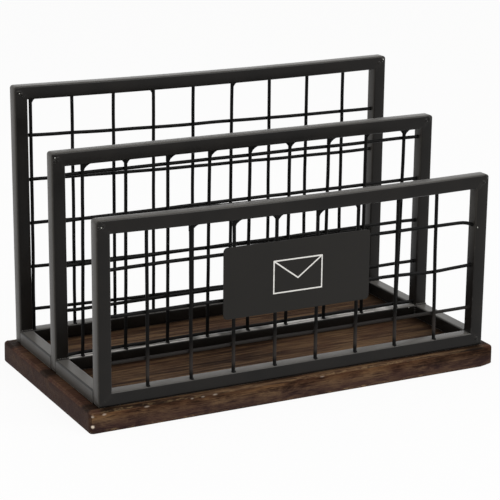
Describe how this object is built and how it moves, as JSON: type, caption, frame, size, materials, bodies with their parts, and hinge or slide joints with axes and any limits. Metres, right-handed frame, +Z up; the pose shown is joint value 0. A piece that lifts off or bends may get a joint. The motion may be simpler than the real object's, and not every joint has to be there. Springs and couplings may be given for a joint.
{
  "type": "letter holder",
  "caption": "Desk letter holder: welded square-tube frames with wire mesh stand on a wooden board and form two upright slots, with a blank name plate in front.",
  "frame": {"origin": "middle of the board's underside", "axes": "+X to the right along the board, +Y from the low front frame to the tall back frame, +Z up"},
  "size_m": [0.3072, 0.1596, 0.198],
  "materials": {
    "stained_wood": "dark walnut stain, matt, worn edges",
    "black_tube": "satin black powder coat",
    "black_wire": "satin black powder coat",
    "charcoal_plate": "matt charcoal coat",
    "zinc_steel": "bright zinc plate"
  },
  "bodies": {
    "root": {"base_board": "stained_wood", "board_screws": "zinc_steel", "front_bottom_tube": "black_tube", "front_top_tube": "black_tube", "front_left_tube": "black_tube", "front_right_tube": "black_tube", "middle_bottom_tube": "black_tube", "middle_top_tube": "black_tube", "middle_left_tube": "black_tube", "middle_right_tube": "black_tube", "back_bottom_tube": "black_tube", "back_top_tube": "black_tube", "back_left_tube": "black_tube", "back_right_tube": "black_tube", "left_front_rail": "black_tube", "right_front_rail": "black_tube", "left_rear_rail": "black_tube", "right_rear_rail": "black_tube", "front_mesh_uprights": "black_wire", "front_mesh_crosswires": "black_wire", "middle_mesh_uprights": "black_wire", "middle_mesh_crosswires": "black_wire", "back_mesh_uprights": "black_wire", "back_mesh_crosswires": "black_wire", "name_plate": "charcoal_plate"}
  },
  "joints": []
}
